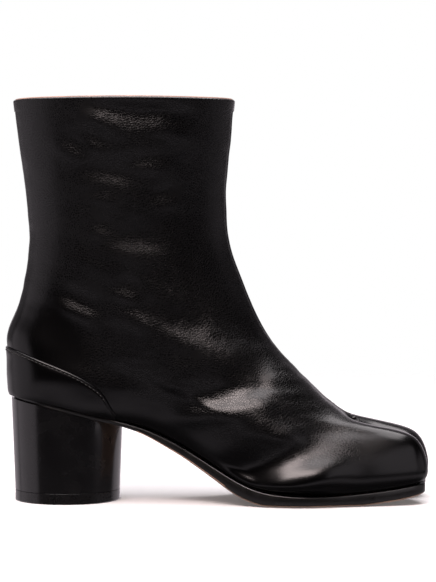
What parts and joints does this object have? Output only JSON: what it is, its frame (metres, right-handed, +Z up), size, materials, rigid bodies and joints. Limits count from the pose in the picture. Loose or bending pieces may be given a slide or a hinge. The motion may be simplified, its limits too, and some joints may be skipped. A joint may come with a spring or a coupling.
{
  "type": "split-toe heeled ankle boot",
  "caption": "Smooth leather ankle boot with the big toe in its own pocket, a round block heel and an open straight shaft.",
  "frame": {"origin": "centre of the heel's round foot, on the floor", "axes": "+X from heel to toe, +Y towards the boot's inner (big-toe) side, +Z up"},
  "size_m": [0.2401, 0.0883, 0.2257],
  "materials": {
    "upper": "semi-gloss smooth black calf",
    "counter": "semi-gloss smooth black calf",
    "insole": "natural tan, matt",
    "outsole": "black painted edge over natural leather",
    "heel": "glossy black cover",
    "top_lift": "satin black"
  },
  "bodies": {
    "root": {"upper": "upper", "counter": "counter", "insole": "insole", "outsole": "outsole", "heel": "heel", "top_lift": "top_lift"}
  },
  "joints": []
}
